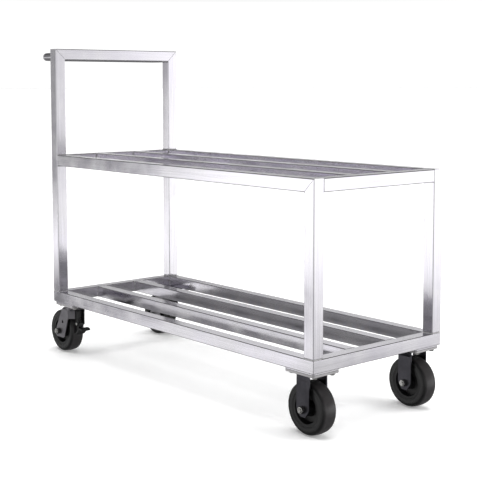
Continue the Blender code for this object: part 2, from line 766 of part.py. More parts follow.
def brake_pin_mesh():
    """A headed pin across the bracket's cheeks."""
    head = BRAKE_PLATE / 2
    outer = BRAKE_WIDTH / 2 + SEAT_GAP
    shank = cylinder(BRAKE_PIN_DIAMETER, 2 * outer + head, (0, 0, 0), "Y")
    places = [(0, sign * (outer + head / 2), 0) for sign in (-1, 1)]
    heads = [cylinder(BRAKE_PIN_HEAD, head, place, "Y") for place in places]
    return combine(shank, "UNION", *heads)


def build_swivel_caster(truck, side, sign):
    prefix = f"rear_{side}"
    caster = add_empty(f"{prefix}_caster", truck, (-CASTER_X, sign * CASTER_Y, 0))
    plate, ring, pin = swivel_plate_mesh(), ball_ring_mesh(), kingpin_mesh()
    for mesh in (plate, ring, pin):
        shade_round(mesh)
    add_part(f"{prefix}_swivel_plate", plate, "fork", caster)
    add_part(f"{prefix}_ball_ring", ring, "bolt", caster)
    add_part(f"{prefix}_kingpin", pin, "bolt", caster)
    nut_top = race_heights()[1] - RACE_DEPTH - FORK_PLATE - SEAT_GAP
    nut = nut_mesh(KINGPIN_NUT, KINGPIN_DIAMETER)
    add_part(f"{prefix}_kingpin_nut", nut, "bolt", caster, (0, 0, nut_top - KINGPIN_NUT[1]))
    head = add_empty(f"{prefix}_swivel_head", caster, (0, 0, 0))
    add_part(f"{prefix}_swivel_fork", swivel_fork_mesh(), "fork", head)
    add_axle(prefix, head, SWIVEL_LEAD)
    add_wheel(prefix, head, SWIVEL_LEAD)
    pivot = (BRAKE_PIVOT[0], 0, BRAKE_PIVOT[1])
    add_part(f"{prefix}_brake_bracket", brake_bracket_mesh(), "brake", head)
    add_part(f"{prefix}_brake_pedal", brake_pedal_mesh(), "brake", head, pivot)
    add_part(f"{prefix}_brake_pin", brake_pin_mesh(), "bolt", head, pivot)


def build_pads(truck):
    """A plate under each corner of the bottom deck, which the caster bolts to."""
    z = PAD_BOTTOM + PAD_THICKNESS / 2
    mesh = extrusion([plate_outline()], PAD_THICKNESS)
    for side, across in SIDES.items():
        for end, along in (("front", 1), ("rear", -1)):
            place = (along * CASTER_X, across * CASTER_Y, z)
            add_part(f"{end}_{side}_corner_pad", mesh.copy(), "pad", truck, place)


def build_truck():
    truck = add_empty("truck", None, (FRAME_OFFSET, 0, 0))
    build_bottom_deck(truck)
    build_handle_frame(truck)
    build_shelf(truck)
    build_push_handle(truck)
    build_pads(truck)
    for side, sign in SIDES.items():
        build_fixed_caster(truck, side, sign)
        build_swivel_caster(truck, side, sign)


build_truck()
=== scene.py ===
import json
import math

import bmesh
import bpy
from mathutils import Matrix, Vector


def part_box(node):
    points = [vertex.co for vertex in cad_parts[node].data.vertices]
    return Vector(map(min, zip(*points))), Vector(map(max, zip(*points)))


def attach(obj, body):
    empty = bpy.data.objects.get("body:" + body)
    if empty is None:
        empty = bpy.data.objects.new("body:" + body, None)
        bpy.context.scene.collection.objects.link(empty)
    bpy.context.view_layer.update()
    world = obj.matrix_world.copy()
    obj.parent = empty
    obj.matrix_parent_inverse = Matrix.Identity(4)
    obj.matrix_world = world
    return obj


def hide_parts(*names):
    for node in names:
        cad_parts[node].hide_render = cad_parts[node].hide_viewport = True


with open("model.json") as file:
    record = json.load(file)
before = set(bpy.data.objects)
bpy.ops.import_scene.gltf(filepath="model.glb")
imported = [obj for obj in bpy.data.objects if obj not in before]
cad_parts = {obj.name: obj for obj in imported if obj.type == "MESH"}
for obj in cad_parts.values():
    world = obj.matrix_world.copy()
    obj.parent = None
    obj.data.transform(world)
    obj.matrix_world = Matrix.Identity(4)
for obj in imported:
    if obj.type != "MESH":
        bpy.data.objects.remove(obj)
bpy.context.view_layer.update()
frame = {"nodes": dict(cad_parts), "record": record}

print("frame loaded:", len(frame["nodes"]), "solids")


# Places that come from the solids, all in metres

def middleOf(node):
    low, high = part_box(node)
    return (low + high) / 2


def floorPlace(node):
    middle = middleOf(node)
    return Vector((middle.x, middle.y, 0))


sides = ["near", "far"]
frontCorner = {side: floorPlace("front_" + side + "_tyre") for side in sides}
rearCorner = {side: floorPlace("rear_" + side + "_ball_ring") for side in sides}
axleHeight = middleOf("front_near_tyre").z
swivelLead = rearCorner["near"].x - middleOf("rear_near_tyre").x


# Tools for modelling

mergeDistance = 0.00001
creaseAngle = 32  # in degrees: a sharper edge is kept sharp, or rounded by softenEdges


def deselectAll():
    if bpy.context.mode != "OBJECT":
        bpy.ops.object.mode_set(mode="OBJECT")
    bpy.ops.object.select_all(action="DESELECT")


def workOn(piece):
    deselectAll()
    piece.select_set(True)
    bpy.context.view_layer.objects.active = piece


def editAll():
    bpy.ops.object.mode_set(mode="EDIT")
    bpy.ops.mesh.select_mode(type="VERT")
    bpy.ops.mesh.select_all(action="SELECT")


def pickFaces(wanted):
    # selects the faces whose middle and normal pass the test, in edit mode
    bpy.ops.mesh.select_mode(type="FACE")
    bpy.ops.mesh.select_all(action="DESELECT")
    cage = bmesh.from_edit_mesh(bpy.context.object.data)
    for face in cage.faces:
        face.select_set(wanted(face.calc_center_median(), face.normal))
    bmesh.update_edit_mesh(bpy.context.object.data)


def drawLine(points):
    # a small plane is merged to one vertex, which is then extruded from point to point
    deselectAll()
    bpy.ops.mesh.primitive_plane_add(size=0.01)
    editAll()
    bpy.ops.mesh.merge(type="CENTER")
    bpy.ops.transform.translate(value=points[0])
    for before, after in zip(points, points[1:]):
        step = Vector(after) - Vector(before)
        bpy.ops.mesh.extrude_region_move(TRANSFORM_OT_translate={"value": step})
    return bpy.context.object


def closeMesh():
    bpy.ops.mesh.select_all(action="SELECT")
    bpy.ops.mesh.remove_doubles(threshold=mergeDistance)
    bpy.ops.mesh.normals_make_consistent(inside=False)
    bpy.ops.object.mode_set(mode="OBJECT")


def turnProfile(profile, centre, axis, steps):
    # the profile is a closed line of (radius, place along the axis)
    across = {"X": "Z", "Y": "Z", "Z": "X"}[axis]
    along, out = Vector(), Vector()
    along["XYZ".index(axis)] = 1
    out["XYZ".index(across)] = 1
    points = [Vector(centre) + out * r + along * a for r, a in profile + profile[:1]]
    piece = drawLine(points)
    bpy.ops.mesh.select_all(action="SELECT")
    bpy.ops.mesh.spin(steps=steps, angle=2 * math.pi, center=centre, axis=along)
    closeMesh()
    return piece


def cutPlate(outline, plane, thickness, centre=(0, 0, 0)):
    # a flat outline made a plate, its thickness shared either side of centre
    if plane == "XY":
        points = [Vector((x, y, 0)) for x, y in outline]
        depth = Vector((0, 0, thickness))
    elif plane == "XZ":
        points = [Vector((x, 0, z)) for x, z in outline]
        depth = Vector((0, thickness, 0))
    else:
        points = [Vector((0, y, z)) for y, z in outline]
        depth = Vector((thickness, 0, 0))
    start = Vector(centre) - depth / 2
    piece = drawLine([start + point for point in points])
    bpy.ops.mesh.select_all(action="SELECT")
    bpy.ops.mesh.edge_face_add()
    bpy.ops.mesh.extrude_region_move(TRANSFORM_OT_translate={"value": depth})
    closeMesh()
    return piece


def applyModifier(piece, kind, **settings):
    workOn(piece)
    modifier = piece.modifiers.new(kind.lower(), kind)
    for name, value in settings.items():
        setattr(modifier, name, value)
    bpy.ops.object.modifier_apply(modifier=modifier.name)


def joinSolid(piece, operation, *others):
    for other in others:
        applyModifier(piece, "BOOLEAN", operation=operation, object=other, solver="EXACT")
        bpy.data.objects.remove(other)
    return piece


def softenEdges(piece, width):
    applyModifier(
        piece, "BEVEL", width=width, segments=2, limit_method="ANGLE", angle_limit=math.radians(creaseAngle),
        use_clamp_overlap=True, miter_outer="MITER_ARC", harden_normals=False,
    )
    return piece


def drillHole(piece, radius, place, depth):
    # a round hole along Y
    deselectAll()
    bpy.ops.mesh.primitive_cylinder_add(
        vertices=40, radius=radius, depth=depth, location=place, rotation=(math.pi / 2, 0, 0)
    )
    joinSolid(piece, "DIFFERENCE", bpy.context.object)


def roundCorners(corners, radii, steps=6):
    # the outline with an arc at each corner
    points = []
    for i, radius in enumerate(radii):
        here = Vector(corners[i])
        before = (Vector(corners[i - 1]) - here).normalized()
        after = (Vector(corners[(i + 1) % len(corners)]) - here).normalized()
        if radius == 0:
            points.append(tuple(here))
            continue
        half = before.angle(after) / 2
        middle = here + (before + after).normalized() * (radius / math.sin(half))
        start = here + before * radius / math.tan(half) - middle
        end = here + after * radius / math.tan(half) - middle
        swing = start.angle_signed(end)
        for step in range(steps + 1):
            point = start.copy()
            point.rotate(Matrix.Rotation(-swing * step / steps, 2))
            points.append(tuple(middle + point))
    return points


def boxOutline(width, height, radius, steps=6):
    x, y = width / 2, height / 2
    return roundCorners([(-x, -y), (x, -y), (x, y), (-x, y)], [radius] * 4, steps)


def finishPiece(piece, name, body, material, stands=(), angle=creaseAngle):
    workOn(piece)
    bpy.ops.object.transform_apply(location=True, rotation=True, scale=True)
    bpy.ops.object.shade_smooth_by_angle(angle=math.radians(angle))
    # the flats are shaded flat beside their rounded edges
    applyModifier(piece, "WEIGHTED_NORMAL", keep_sharp=True)
    piece.name = name
    piece.data.name = name
    piece.data.materials.clear()
    piece.data.materials.append(material)
    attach(piece, body)
    if stands:
        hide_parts(*stands)


def placeCopy(master, name, move, body, material, stands=()):
    # each copy has its own mesh, moved to its place, with the object left at the origin
    piece = master.copy()
    piece.data = master.data.copy()
    bpy.context.scene.collection.objects.link(piece)
    piece.data.transform(move if isinstance(move, Matrix) else Matrix.Translation(move))
    finishPiece(piece, name, body, material, stands)


# Materials

def linearColour(code):
    channels = [int(code[i:i + 2], 16) / 255 for i in (1, 3, 5)]
    return [c / 12.92 if c <= 0.04045 else ((c + 0.055) / 1.055) ** 2.4 for c in channels] + [1]


def shaderOf(material):
    return material.node_tree.nodes["Principled BSDF"]


def newMaterial(name):
    material = bpy.data.materials.new(name)
    material.use_nodes = True
    return material, shaderOf(material)


def addNode(material, kind, settings=None, links=None, **values):
    # values go to the inputs by name, settings to the node, and links join an input to an output
    tree = material.node_tree
    node = tree.nodes.new(kind)
    for name, value in (settings or {}).items():
        setattr(node, name, value)
    for name, value in values.items():
        node.inputs[name.replace("_", " ")].default_value = value
    for name, output in (links or {}).items():
        tree.links.new(output, node.inputs[name])
    return node


def setRamp(node, stops):
    ramp = node.color_ramp
    while len(ramp.elements) < len(stops):
        ramp.elements.new(0.5)
    for element, (place, colour) in zip(ramp.elements, stops):
        element.position = place
        element.color = linearColour(colour) if isinstance(colour, str) else (colour, colour, colour, 1)


def varyRoughness(material, noise, limits):
    rough = addNode(
        material, "ShaderNodeMapRange", links={"Value": noise.outputs["Fac"]},
        From_Min=0.3, From_Max=0.7, To_Min=limits[0], To_Max=limits[1],
    )
    material.node_tree.links.new(rough.outputs[0], shaderOf(material).inputs["Roughness"])


def addBump(material, noise, strength, depth):
    bump = addNode(
        material, "ShaderNodeBump", links={"Height": noise.outputs["Fac"]}, Strength=strength, Distance=depth
    )
    material.node_tree.links.new(bump.outputs[0], shaderOf(material).inputs["Normal"])


def millAluminium(direction, tube):
    # 6063 aluminium as extruded: pale, satin, with die lines about 0.5 mm apart along the tube
    # (drawn 2 mm wide so that they show) and a cloudy oxide
    material, shader = newMaterial("millAluminium" + direction)
    tree = material.node_tree
    stretch = [1 / tube["lineWidth"]] * 3
    stretch["XYZ".index(direction)] = 1 / tube["lineLength"]
    place = addNode(material, "ShaderNodeTexCoord").outputs["Object"]
    lines = addNode(material, "ShaderNodeMapping", links={"Vector": place}, Scale=stretch)
    die = addNode(material, "ShaderNodeTexNoise", links={"Vector": lines.outputs[0]}, Scale=1.0, Detail=3.0)
    cloud = addNode(
        material, "ShaderNodeTexNoise", links={"Vector": place}, Scale=1 / tube["cloudSize"], Detail=5.0
    )
    tint = addNode(material, "ShaderNodeValToRGB", links={"Fac": cloud.outputs["Fac"]})
    setRamp(tint, [(0.30, tube["shade"]), (0.62, tube["colour"])])
    streak = addNode(material, "ShaderNodeValToRGB", links={"Fac": die.outputs["Fac"]})
    setRamp(streak, [(0.35, tube["streak"]), (0.65, 1.0)])
    colour = addNode(material, "ShaderNodeMix", {"data_type": "RGBA", "blend_type": "MULTIPLY"})
    colour.inputs[0].default_value = 1
    tree.links.new(tint.outputs[0], colour.inputs[6])
    tree.links.new(streak.outputs[0], colour.inputs[7])
    tree.links.new(colour.outputs[2], shader.inputs["Base Color"])
    varyRoughness(material, cloud, tube["roughness"])
    shader.inputs["Metallic"].default_value = 1
    addBump(material, die, tube["bump"], tube["lineDepth"])
    return material


def speckledMaterial(name, colours, roughness, metallic, grain, grainDepth, cloudSize=0.05):
    # a base colour with cloudy changes, and a fine surface grain of the given size and depth
    material, shader = newMaterial(name)
    tree = material.node_tree
    place = addNode(material, "ShaderNodeTexCoord").outputs["Object"]
    cloud = addNode(material, "ShaderNodeTexNoise", links={"Vector": place}, Scale=1 / cloudSize, Detail=6.0)
    tint = addNode(material, "ShaderNodeValToRGB", links={"Fac": cloud.outputs["Fac"]})
    setRamp(tint, [(0.32, colours[0]), (0.68, colours[1])])
    tree.links.new(tint.outputs[0], shader.inputs["Base Color"])
    varyRoughness(material, cloud, roughness)
    shader.inputs["Metallic"].default_value = metallic
    fine = addNode(material, "ShaderNodeTexNoise", links={"Vector": place}, Scale=1 / grain, Detail=2.0)
    addBump(material, fine, 0.4, grainDepth)
    return material


def tintWhere(material, source, axis, low, high, colour):
    # a second base colour, coming in as the place or normal along one axis goes from low to high
    tree = material.node_tree
    base = shaderOf(material).inputs["Base Color"]
    vector = addNode(material, "ShaderNodeTexCoord").outputs[source]
    split = addNode(material, "ShaderNodeSeparateXYZ", links={"Vector": vector})
    size = addNode(material, "ShaderNodeMath", {"operation": "ABSOLUTE"}, {0: split.outputs[axis]})
    share = addNode(
        material, "ShaderNodeMapRange", links={"Value": size.outputs[0]}, From_Min=low, From_Max=high
    )
    under = base.links[0].from_socket
    mix = addNode(material, "ShaderNodeMix", {"data_type": "RGBA"}, {0: share.outputs[0], 6: under})
    mix.inputs[7].default_value = linearColour(colour)
    tree.links.new(mix.outputs[2], base)


tubeFinish = {
    "colour": "#F3F1F6", "shade": "#E4E1EA", "roughness": (0.09, 0.23), "streak": 0.90, "cloudSize": 1 / 9,
    "lineWidth": 0.002, "lineLength": 1 / 6, "lineDepth": 0.0002, "bump": 0.12,
}
aluminium = {direction: millAluminium(direction, tubeFinish) for direction in "XYZ"}
# TIG weld in aluminium: brighter and smoother than the tube beside it
weldBright = speckledMaterial("tigWeld", ["#E8E6EA", "#FBFAFB"], (0.22, 0.34), 1, 0.002, 0.0002)
# clear zinc plate on pressed steel: dark grey with a mottled sheen, grain about 1 mm
zincSteel = speckledMaterial("zincPlatedSteel", ["#424146", "#616066"], (0.30, 0.46), 1, 0.0012, 0.0001)
# the swivel casters' forks have a paler plating than the fixed ones
zincPale = speckledMaterial("paleZincSteel", ["#757378", "#908E92"], (0.28, 0.44), 1, 0.0012, 0.0001)
# painted highlight: the zinc above a height of 0.1745 m, on the casters' top plates, is painted near white in
# place of the light their edges catch, so it reads lighter than the legs under them
tintWhere(zincSteel, "Object", "Z", 0.1745, 0.1785, "#D6D4D6")
# bright zinc on bolts and nuts
zincBright = speckledMaterial("brightZinc", ["#A9A8A6", "#D0CFCC"], (0.20, 0.34), 1, 0.0008, 0.00005, 1 / 60)
# black rubber moulded on the wheel: satin, with a faint bloom
mouldedRubber = speckledMaterial(
    "mouldedRubber", ["#0C0C0D", "#131314"], (0.26, 0.36), 0, 0.0009, 0.00006, 1 / 14
)
shaderOf(mouldedRubber).inputs["IOR"].default_value = 1.52
# the tread, facing away from the axle, is painted a lighter grey: partly scuffed wear, partly a painted sheen
# standing in for the highlight the tread catches
tintWhere(mouldedRubber, "Normal", "Y", 0.75, 0.25, "#2E2C2D")
# glass-filled nylon core: a little greyer and drier than the tyre
mouldedNylon = speckledMaterial(
    "mouldedNylon", ["#0D0D0E", "#151516"], (0.38, 0.50), 0, 0.0014, 0.00008, 0.04
)
shaderOf(mouldedNylon).inputs["IOR"].default_value = 1.53
# black powder coat on the brake: fine orange peel about 1.5 mm across
blackPowderCoat = speckledMaterial("blackPowderCoat", ["#0A0A0B", "#121213"], (0.32, 0.42), 0, 0.0015, 0.0001)
print("materials made")


# Camera, floor and light

def makeCamera(look):
    data = bpy.data.cameras.new("camera")
    camera = bpy.data.objects.new("camera", data)
    bpy.context.scene.collection.objects.link(camera)
    azimuth, elevation = math.radians(look["azimuth"]), math.radians(look["elevation"])
    forward = Vector((
        math.cos(elevation) * math.cos(azimuth), math.cos(elevation) * math.sin(azimuth), math.sin(elevation)
    ))
    turn = forward.to_track_quat("-Z", "Y").to_matrix().to_4x4()
    roll = Matrix.Rotation(math.radians(look["roll"]), 4, "Z")
    camera.matrix_world = Matrix.Translation(look["place"]) @ turn @ roll
    data.lens = look["lens"]
    data.sensor_width = look["sensor"]
    data.shift_x, data.shift_y = look["shift"]
    bpy.context.scene.camera = camera


cameraLook = {
    "place": (2.791, -2.2975, 0.9725), "azimuth": 139.60, "elevation": -4.734, "roll": -0.07,
    "lens": 81.3, "sensor": 36, "shift": (0.0065, -0.1395),
}
makeCamera(cameraLook)

# a wide sheet of pale paper just under the wheels, lit a little from below so that shadows stay pale
floorLook = {"size": 400, "place": (0, 0, -0.0005), "colour": "#F4F4F4", "roughness": 0.9, "glow": 0.25}
deselectAll()
bpy.ops.mesh.primitive_plane_add(size=floorLook["size"], location=floorLook["place"])
floor = bpy.context.object
floor.name = "studioFloor"
floor.visible_glossy = False
paper, paperShader = newMaterial("palePaper")
paperShader.inputs["Base Color"].default_value = linearColour(floorLook["colour"])
paperShader.inputs["Roughness"].default_value = floorLook["roughness"]
paperShader.inputs["Emission Color"].default_value = linearColour("#FFFFFF")
paperShader.inputs["Emission Strength"].default_value = floorLook["glow"]
floor.data.materials.append(paper)


def addSoftLight(name, place, target, size, power):
    # lights fill the floor and the rubber; the metal reflects the room and its cards only
    data = bpy.data.lights.new(name, "AREA")
    data.shape = "RECTANGLE"
    data.size, data.size_y = size
    data.energy = power
    light = bpy.data.objects.new(name, data)
    bpy.context.scene.collection.objects.link(light)
    aim = (Vector(target) - Vector(place)).to_track_quat("-Z", "Y")
    light.matrix_world = Matrix.Translation(place) @ aim.to_matrix().to_4x4()
    light.visible_glossy = False


addSoftLight("softBoxRight", (3.6, 2.6, 2.4), (0.3, 0, 0.5), (2.4, 2.2), 110)
skyLook = {"energy": 2.9, "spread": math.radians(60)}
skylight = bpy.data.objects.new("skylight", bpy.data.lights.new("skylight", "SUN"))
skylight.data.energy = skyLook["energy"]
skylight.data.angle = skyLook["spread"]
skylight.visible_glossy = False
bpy.context.scene.collection.objects.link(skylight)

# a grey card lies under the deck, seen only in reflections, so that the deck's inner faces stay dark
cardLook = {"size": (1.26, 0.50), "centre": (0.038, 0, 0.158), "colour": "#8E8E8E", "roughness": 0.95}
deselectAll()
bpy.ops.mesh.primitive_plane_add(size=1, location=cardLook["centre"])
bpy.ops.transform.resize(value=(*cardLook["size"], 1))
greyCard = bpy.context.object
greyCard.name = "greyCard"
cardPaper, cardShader = newMaterial("greyCardPaper")
cardShader.inputs["Base Color"].default_value = linearColour(cardLook["colour"])
cardShader.inputs["Roughness"].default_value = cardLook["roughness"]
greyCard.data.materials.append(cardPaper)
greyCard.visible_camera = greyCard.visible_diffuse = greyCard.visible_shadow = False
greyCard.visible_transmission = False

world = bpy.data.worlds.new("studio")
bpy.context.scene.world = world
world.use_nodes = True
worldBrightness = 1.3
# the room as (height, brightness): a height of -1 is straight down, 0 the horizon and 1 straight up
openRoom = [
    (-0.5, 0.12), (-0.20, 0.30), (-0.05, 0.50), (0.12, 0.50),
    (0.28, 0.25), (0.5, 0.06), (0.82, 0.06), (0.96, 0.6),
]
# each card stands at an azimuth in degrees, whole within the first angle and faded out by the second
cards = {
    "backdrop": (140, 20, 30, [
        (-0.5, 0.1), (-0.02, 0.3), (0.0, 0.85), (0.077, 0.85), (0.081, 0.10), (0.15, 0.12),
        (0.19, 0.42), (0.24, 0.62), (0.32, 0.62), (0.5, 0.15),
    ]),
    "nearSide": (222, 16, 28, [
        (-0.5, 0.20), (-0.285, 0.28), (-0.260, 0.92), (-0.224, 0.92), (-0.214, 0.40),
        (-0.186, 0.43), (-0.172, 1.12), (-0.02, 1.12), (0.05, 0.25), (0.40, 0.03),
    ]),
    "rearCorner": (201, 14, 19, [
        (-0.5, 0.18), (-0.222, 0.18), (-0.205, 0.13), (-0.168, 0.13), (-0.154, 1.05),
        (-0.122, 1.05), (-0.105, 0.27), (0.06, 0.27), (0.16, 0.03),
    ]),
    "frontSide": (42, 18, 28, [
        (-0.5, 0.28), (-0.257, 0.38), (-0.235, 0.66), (-0.205, 0.68), (-0.15, 1.1), (0.05, 1.1),
        (0.12, 0.20), (0.40, 0.03),
    ]),
    "frontLeft": (26, 5, 12, [
        (-0.5, 0.34), (-0.30, 0.36), (-0.10, 0.62), (0.07, 0.62), (0.14, 0.20), (0.40, 0.03),
    ]),
}
facing = addNode(world, "ShaderNodeTexCoord").outputs["Generated"]
rise = addNode(world, "ShaderNodeSeparateXYZ", links={"Vector": facing})
height = addNode(world, "ShaderNodeMapRange", links={"Value": rise.outputs["Z"]}, From_Min=-1.0, From_Max=1.0)


def rampByHeight(stops):
    ramp = addNode(world, "ShaderNodeValToRGB", links={"Fac": height.outputs[0]})
    setRamp(ramp, [((level + 1) / 2, brightness) for level, brightness in stops])
    return ramp.outputs[0]


light = rampByHeight(openRoom)
for azimuth, whole, faded, stops in cards.values():
    turn = math.radians(azimuth)
    nearness = addNode(world, "ShaderNodeVectorMath", {"operation": "DOT_PRODUCT"}, {0: facing})
    nearness.inputs[1].default_value = (math.cos(turn), math.sin(turn), 0)
    cover = addNode(
        world, "ShaderNodeMapRange", {"interpolation_type": "SMOOTHSTEP"},
        {"Value": nearness.outputs["Value"]}, From_Min=math.cos(math.radians(faded)),
        From_Max=math.cos(math.radians(whole)),
    )
    mixed = addNode(
        world, "ShaderNodeMix", {"data_type": "RGBA"}, {0: cover.outputs[0], 6: light, 7: rampByHeight(stops)}
    )
    light = mixed.outputs[2]
backdropShader = world.node_tree.nodes["Background"]
world.node_tree.links.new(light, backdropShader.inputs["Color"])
backdropShader.inputs["Strength"].default_value = worldBrightness
bpy.context.scene.view_settings.view_transform = "Standard"
print("camera, floor and light placed")


# Finishes of the solids that stay in view

def tubeDirection(node):
    low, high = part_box(node)
    size = high - low
    return "XYZ"[max(range(3), key=lambda i: size[i])]


slotOf = {part["node"]: part["material_slot"] for part in frame["record"]["subparts"]}
finishOf = {
    "pad": aluminium["X"], "caster_steel": zincSteel, "fastener": zincBright,
    "tyre": mouldedRubber, "wheel_core": mouldedNylon, "brake": blackPowderCoat,
}
for node, solid in frame["nodes"].items():
    slot = slotOf[node]
    material = aluminium[tubeDirection(node)] if slot == "tube" else finishOf[slot]
    solid.data.materials.clear()
    solid.data.materials.append(material)

# Square tube, drawn at each solid's own size and cut to its mitres

towards = {
    "+X": Vector((1, 0, 0)), "-X": Vector((-1, 0, 0)), "+Y": Vector((0, 1, 0)), "-Y": Vector((0, -1, 0)),
    "+Z": Vector((0, 0, 1)), "-Z": Vector((0, 0, -1)),
}
# the side that a mitre leaves longest, then the mitred ends
tubeCuts = {
    "bottom_side_rail_near": "-Y +X -X", "bottom_side_rail_far": "+Y +X -X",
    "bottom_end_rail_front": "+X +Y -Y", "bottom_end_rail_rear": "-X +Y -Y",
    "bottom_deck_bar_1": "", "bottom_deck_bar_2": "",
    "front_upright_near": "+X +Z", "front_upright_far": "+X +Z",
    "shelf_side_rail_near": "+Z +X", "shelf_side_rail_far": "+Z +X",
    "shelf_end_rail_front": "", "shelf_end_rail_rear": "", "shelf_bar_1": "", "shelf_bar_2": "",
    "handle_upright_near": "-Y +Z", "handle_upright_far": "+Y +Z", "handle_top_rail": "+Z +Y -Y",
}
tube = {"width": 0.0381, "corner": 0.0024, "cornerSteps": 5, "cutEdge": 0.0013, "footBevel": 0.0036}


def drawTube(node, cuts):
    low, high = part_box(node)
    middle, size = (low + high) / 2, high - low
    direction = tubeDirection(node)
    outline = boxOutline(tube["width"], tube["width"], tube["corner"], tube["cornerSteps"])
    plane = {"X": "YZ", "Y": "XZ", "Z": "XY"}[direction]
    piece = cutPlate(outline, plane, size["XYZ".index(direction)], middle)
    for end in cuts[1:]:
        out, along = towards[cuts[0]], towards[end]
        corner = middle + Vector([(out[i] + along[i]) * size[i] / 2 for i in range(3)])
        workOn(piece)
        editAll()
        slope = (along - out).normalized()
        bpy.ops.mesh.bisect(plane_co=corner, plane_no=slope, use_fill=True, clear_outer=True)
        closeMesh()
    if "upright" in node:  # the foot is ground back for its weld
        workOn(piece)
        editAll()
        pickFaces(lambda middle, normal: normal.z < -0.9)
        bpy.ops.mesh.bevel(offset=tube["footBevel"], segments=1, affect="EDGES")
        closeMesh()
    return softenEdges(piece, tube["cutEdge"])


for node, cuts in tubeCuts.items():
    piece = drawTube(node, cuts.split())
    finishPiece(piece, node + "_tube", "frame", aluminium[tubeDirection(node)], [node])
print("square tubes made")


# Push handle: one round tube, bent at both corners

handle = {"radius": 0.0143, "bend": 0.030, "sides": 40, "bendSteps": 14}


def bendHandle():
    low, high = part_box("push_handle")
    radius, bend = handle["radius"], handle["bend"]
    grip, wall = low.x + radius, high.x
    side, z = high.y - radius, (low.z + high.z) / 2
    deselectAll()
    bpy.ops.mesh.primitive_circle_add(
        vertices=handle["sides"], radius=radius, fill_type="NGON", location=(wall, -side, z),
        rotation=(0, math.pi / 2, 0),
    )
    bpy.ops.object.transform_apply(location=True, rotation=True, scale=True)
    editAll()
    bpy.ops.mesh.extrude_region_move(TRANSFORM_OT_translate={"value": (grip + bend - wall, 0, 0)})
    bpy.ops.mesh.spin(
        steps=handle["bendSteps"], angle=math.pi / 2, center=(grip + bend, -side + bend, z), axis=(0, 0, 1)
    )
    bpy.ops.mesh.extrude_region_move(TRANSFORM_OT_translate={"value": (0, 2 * (side - bend), 0)})
    bpy.ops.mesh.spin(
        steps=handle["bendSteps"], angle=math.pi / 2, center=(grip + bend, side - bend, z), axis=(0, 0, 1)
    )
    bpy.ops.mesh.extrude_region_move(TRANSFORM_OT_translate={"value": (wall - grip - bend, 0, 0)})
    closeMesh()
    return bpy.context.object


finishPiece(bendHandle(), "pushHandle", "frame", aluminium["Y"], ["push_handle"])
print("push handle made")


# Corner pads and caster plates

plate = {
    "length": 0.1143, "width": 0.1016, "corner": 0.006, "pad": 0.0048, "caster": 0.0064, "edge": 0.0006,
    "underside": 0.1778, "boltX": 0.0460, "boltY": 0.0333,
}
casterTop = plate["underside"] + plate["caster"]


def cutCasterPlate(thickness, bottom):
    outline = boxOutline(plate["length"], plate["width"], plate["corner"])
    return cutPlate(outline, "XY", thickness, (0, 0, bottom + thickness / 2))


padMaster = softenEdges(cutCasterPlate(plate["pad"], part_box("front_near_corner_pad")[0].z), plate["edge"])
for side in sides:
    for end, corner in (("front", frontCorner[side]), ("rear", rearCorner[side])):
        node = end + "_" + side + "_corner_pad"
        placeCopy(padMaster, node + "_plate", corner, "frame", aluminium["X"], [node])
bpy.data.objects.remove(padMaster)


# Wheels

wheel = {
    "radius": 0.0762, "half": 0.0254, "shoulder": 0.010, "crown": 0.0012, "core": 0.0520, "ring": 0.0006,
    "rimDepth": 0.009, "rimInset": 0.0012, "rimSlope": 0.003, "web": 0.007, "hub": 0.019, "hubHalf": 0.030,
    "bore": 0.0098, "gap": 0.0003, "steps": 96,
}


def tyreProfile():
    radius, half, shoulder = wheel["radius"], wheel["half"], wheel["shoulder"]
    flank = half - shoulder
    oneHalf = [(radius - wheel["crown"] * (i / 4) ** 2, flank * i / 4) for i in range(5)]
    centre = radius - wheel["crown"] - shoulder
    for i in range(1, 7):
        angle = math.pi / 2 * i / 6
        oneHalf.append((centre + shoulder * math.cos(angle), flank + shoulder * math.sin(angle)))
    ring, core = wheel["ring"], wheel["core"]
    # a moulded groove, and the lip where the rubber meets the core
    oneHalf += [
        (centre - ring, half - ring), (centre - 4 * ring, half - ring), (centre - 5 * ring, half),
        (core + 4 * ring, half), (core + 3 * ring, half - ring), (core, half - ring),
    ]
    return oneHalf + [(r, -along) for r, along in reversed(oneHalf[1:])]


def coreProfile():
    rim, web, hub = wheel["core"] - wheel["gap"], wheel["web"], wheel["hub"]
    rimHalf, hubHalf = wheel["half"] - wheel["rimInset"], wheel["hubHalf"]
    inside, slope = rim - wheel["rimDepth"], wheel["rimSlope"]
    corners = [
        (wheel["bore"], hubHalf), (hub, hubHalf), (hub + slope, web), (inside - slope, web),
        (inside, rimHalf), (rim, rimHalf),
    ]
    radii = [0.0005, 0.0012, 0.0030, 0.0030, 0.0010, 0.0006]
    return roundCorners(corners + [(r, -along) for r, along in reversed(corners)], radii + radii[::-1], 4)


axleCentre = (0, 0, axleHeight)
tyreMaster = turnProfile(tyreProfile(), axleCentre, "Y", wheel["steps"])
coreMaster = turnProfile(coreProfile(), axleCentre, "Y", wheel["steps"])
for side in sides:
    for end, corner, lead in (("front", frontCorner[side], 0), ("rear", rearCorner[side], swivelLead)):
        prefix, body = end + "_" + side, end + "_" + side + "_wheel"
        place = corner - Vector((lead, 0, 0))
        placeCopy(tyreMaster, prefix + "_rubber", place, body, mouldedRubber, [prefix + "_tyre"])
        placeCopy(
            coreMaster, prefix + "_core", place, body, mouldedNylon, [prefix + "_wheel_core"]
        )
bpy.data.objects.remove(tyreMaster)
bpy.data.objects.remove(coreMaster)
print("wheels made")


# Hexagon bolts and nuts, modelled standing on the origin along +Z

